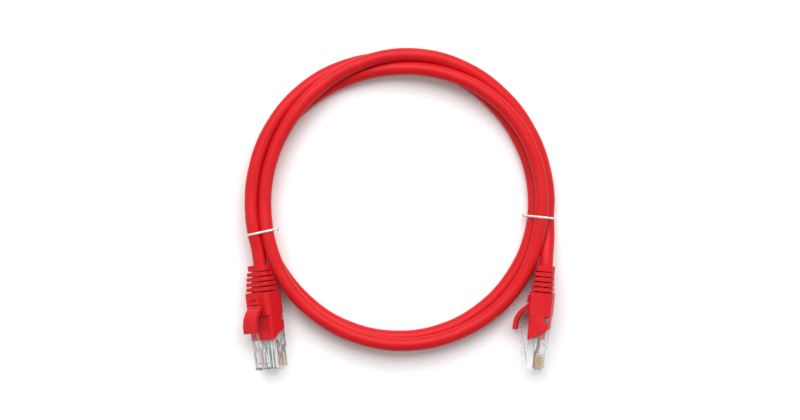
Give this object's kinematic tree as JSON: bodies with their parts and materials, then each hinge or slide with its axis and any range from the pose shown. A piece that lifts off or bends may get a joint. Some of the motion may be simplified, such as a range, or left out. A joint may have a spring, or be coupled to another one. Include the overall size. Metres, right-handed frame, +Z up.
{
  "type": "ethernet patch cable",
  "caption": "Short red network patch cable coiled flat under two ties, with a clear modular plug in a ribbed snagless boot at each end.",
  "frame": {"origin": "on the coil's axis, at the surface that the coil lies on", "axes": "+Z up along the coil's axis, +Y from the plugs to the far side of the coil, +X from plug a to plug b"},
  "size_m": [0.1275, 0.1319, 0.0173],
  "materials": {
    "cable_jacket": "satin soft PVC",
    "boot": "satin soft PVC",
    "clear_plastic": "clear, glossy",
    "contact_gold": "gold plated",
    "copper": "bare drawn copper",
    "tie_coat": "satin",
    "tie_wire": "galvanised",
    "insulation_white_orange": "satin",
    "insulation_orange": "satin",
    "insulation_white_green": "satin",
    "insulation_blue": "satin",
    "insulation_white_blue": "satin",
    "insulation_green": "satin",
    "insulation_white_brown": "satin",
    "insulation_brown": "satin"
  },
  "bodies": {
    "cable": {"cable_coil": "cable_jacket", "cable_tail_a": "cable_jacket", "tie_coat_a": "tie_coat", "tie_wire_a": "tie_wire", "plug_body_a": "clear_plastic", "copper_cores_a": "copper", "boot_a": "boot", "contact_1_a": "contact_gold", "contact_2_a": "contact_gold", "contact_3_a": "contact_gold", "contact_4_a": "contact_gold", "contact_5_a": "contact_gold", "contact_6_a": "contact_gold", "contact_7_a": "contact_gold", "contact_8_a": "contact_gold", "wire_white_orange_a": "insulation_white_orange", "wire_orange_a": "insulation_orange", "wire_white_green_a": "insulation_white_green", "wire_blue_a": "insulation_blue", "wire_white_blue_a": "insulation_white_blue", "wire_green_a": "insulation_green", "wire_white_brown_a": "insulation_white_brown", "wire_brown_a": "insulation_brown", "cable_tail_b": "cable_jacket", "tie_coat_b": "tie_coat", "tie_wire_b": "tie_wire", "plug_body_b": "clear_plastic", "copper_cores_b": "copper", "boot_b": "boot", "contact_1_b": "contact_gold", "contact_2_b": "contact_gold", "contact_3_b": "contact_gold", "contact_4_b": "contact_gold", "contact_5_b": "contact_gold", "contact_6_b": "contact_gold", "contact_7_b": "contact_gold", "contact_8_b": "contact_gold", "wire_white_orange_b": "insulation_white_orange", "wire_orange_b": "insulation_orange", "wire_white_green_b": "insulation_white_green", "wire_blue_b": "insulation_blue", "wire_white_blue_b": "insulation_white_blue", "wire_green_b": "insulation_green", "wire_white_brown_b": "insulation_white_brown", "wire_brown_b": "insulation_brown"},
    "latch_a": {"latch_a": "clear_plastic"},
    "tongue_a": {"boot_tongue_a": "boot"},
    "latch_b": {"latch_b": "clear_plastic"},
    "tongue_b": {"boot_tongue_b": "boot"}
  },
  "joints": [
    {"name": "tongue_a_press", "type": "hinge", "parent": "cable", "child": "tongue_a", "pos_m": [-0.05828, -0.0429, 0.01081], "axis": [0.7603, 0.0934, 0.6428], "range_deg": [0, 14], "stiffness_Nm_per_rad": 0.2},
    {"name": "latch_a_press", "type": "hinge", "parent": "cable", "child": "latch_a", "pos_m": [-0.0551, -0.06589, 0.01039], "axis": [-0.7603, -0.0934, -0.6428], "range_deg": [0, 11]},
    {"name": "tongue_b_press", "type": "hinge", "parent": "cable", "child": "tongue_b", "pos_m": [0.05261, -0.04231, 0.00607], "axis": [-0.1557, 0.0155, 0.9877], "range_deg": [0, 14], "stiffness_Nm_per_rad": 0.2},
    {"name": "latch_b_press", "type": "hinge", "parent": "cable", "child": "latch_b", "pos_m": [0.05085, -0.06544, 0.00616], "axis": [0.1557, -0.0155, -0.9877], "range_deg": [0, 11]}
  ],
  "couplings": [
    {"joint": "latch_a_press", "follows": "tongue_a_press", "ratio": 0.78},
    {"joint": "latch_b_press", "follows": "tongue_b_press", "ratio": 0.78}
  ]
}
